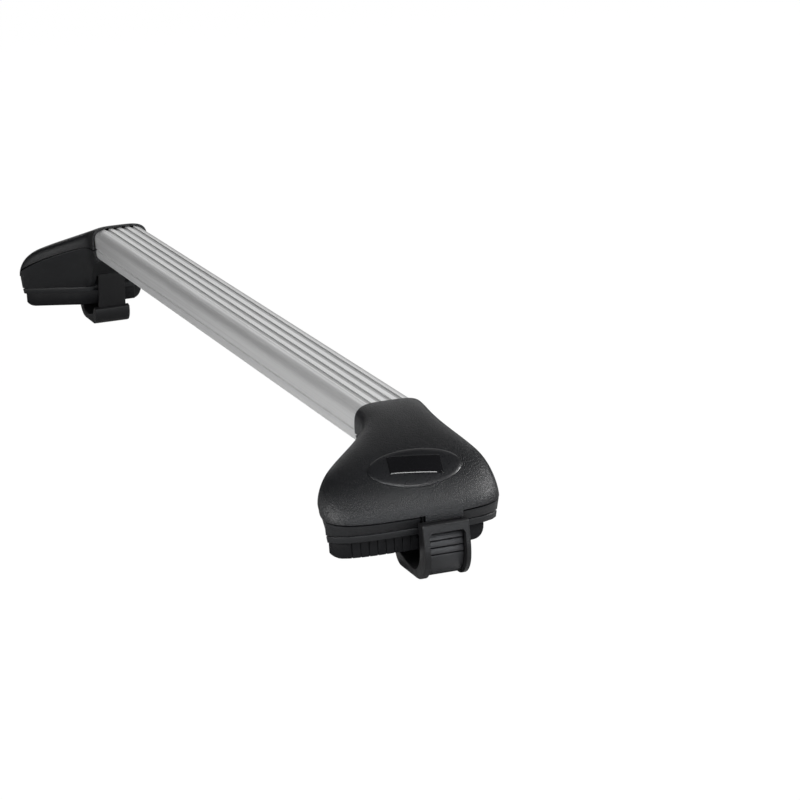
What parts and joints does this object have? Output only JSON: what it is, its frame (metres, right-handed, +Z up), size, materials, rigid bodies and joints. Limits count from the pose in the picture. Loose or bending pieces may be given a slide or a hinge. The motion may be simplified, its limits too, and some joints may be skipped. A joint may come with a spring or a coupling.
{
  "type": "roof rack crossbar",
  "caption": "Ribbed aluminium roof rack crossbar on flared plastic feet, with ribbed rubber pads and toothed straps that buckle round the roof rails.",
  "frame": {"origin": "on the bar's top face, over its centre line, at mid span", "axes": "+X along the bar towards the near foot, +Y towards the short wings of the feet, +Z up"},
  "size_m": [1.1492, 0.1495, 0.1206],
  "materials": {
    "bar_aluminium": "satin anodised, with lines along the extrusion",
    "cover_plastic": "fine-grained textured black, slightly glossy",
    "inlay_plastic": "smooth satin black",
    "plate_gloss": "gloss black, bevelled",
    "base_plastic": "matte charcoal black",
    "pad_rubber": "matte black rubber",
    "band_plastic": "matte dark grey, fine grain",
    "strap_plastic": "satin black, saw teeth across",
    "zinc_steel": "bright zinc plated",
    "cast_steel": "plain sintered steel"
  },
  "bodies": {
    "frame": {"bar": "bar_aluminium", "base_near": "base_plastic", "rubber_pad_near": "pad_rubber", "thrust_washer_near": "zinc_steel", "band_pin_near": "zinc_steel", "bar_screw_near": "zinc_steel", "base_far": "base_plastic", "rubber_pad_far": "pad_rubber", "thrust_washer_far": "zinc_steel", "band_pin_far": "zinc_steel", "bar_screw_far": "zinc_steel"},
    "lid_near": {"cover_near": "cover_plastic", "oval_inlay_near": "inlay_plastic", "plain_plate_near": "plate_gloss"},
    "drive_near": {"tension_screw_near": "zinc_steel"},
    "nut_near": {"nut_block_near": "cast_steel", "strap_pin_near": "zinc_steel"},
    "loop_near": {"rail_band_near": "band_plastic", "toothed_strap_near": "strap_plastic"},
    "lid_far": {"cover_far": "cover_plastic", "oval_inlay_far": "inlay_plastic", "plain_plate_far": "plate_gloss"},
    "drive_far": {"tension_screw_far": "zinc_steel"},
    "nut_far": {"nut_block_far": "cast_steel", "strap_pin_far": "zinc_steel"},
    "loop_far": {"rail_band_far": "band_plastic", "toothed_strap_far": "strap_plastic"}
  },
  "joints": [
    {"name": "lid_lift_near", "type": "slide", "parent": "frame", "child": "lid_near", "axis": [0, 0, 1], "range_m": [0, 0.05]},
    {"name": "drive_turn_near", "type": "hinge", "parent": "frame", "child": "drive_near", "pos_m": [0.521, -0.0023, -0.0389], "axis": [0, 0, 1], "range_deg": [0, 1728]},
    {"name": "nut_travel_near", "type": "slide", "parent": "frame", "child": "nut_near", "axis": [0, 0, 1], "range_m": [-0.006, 0]},
    {"name": "loop_swing_near", "type": "hinge", "parent": "frame", "child": "loop_near", "pos_m": [0.495, -0.0023, -0.0535], "axis": [0, 1, 0], "range_deg": [0, 7.01]},
    {"name": "lid_lift_far", "type": "slide", "parent": "frame", "child": "lid_far", "axis": [0, 0, 1], "range_m": [0, 0.05]},
    {"name": "drive_turn_far", "type": "hinge", "parent": "frame", "child": "drive_far", "pos_m": [-0.521, -0.0023, -0.0389], "axis": [0, 0, 1], "range_deg": [0, 1728]},
    {"name": "nut_travel_far", "type": "slide", "parent": "frame", "child": "nut_far", "axis": [0, 0, 1], "range_m": [-0.006, 0]},
    {"name": "loop_swing_far", "type": "hinge", "parent": "frame", "child": "loop_far", "pos_m": [-0.495, -0.0023, -0.0535], "axis": [0, -1, 0], "range_deg": [0, 7.01]}
  ],
  "couplings": [
    {"joint": "drive_turn_near", "follows": "nut_travel_near", "rad_per_m": -5026.5},
    {"joint": "loop_swing_near", "follows": "nut_travel_near", "rad_per_m": -20.383},
    {"joint": "drive_turn_far", "follows": "nut_travel_far", "rad_per_m": -5026.5},
    {"joint": "loop_swing_far", "follows": "nut_travel_far", "rad_per_m": -20.383}
  ]
}
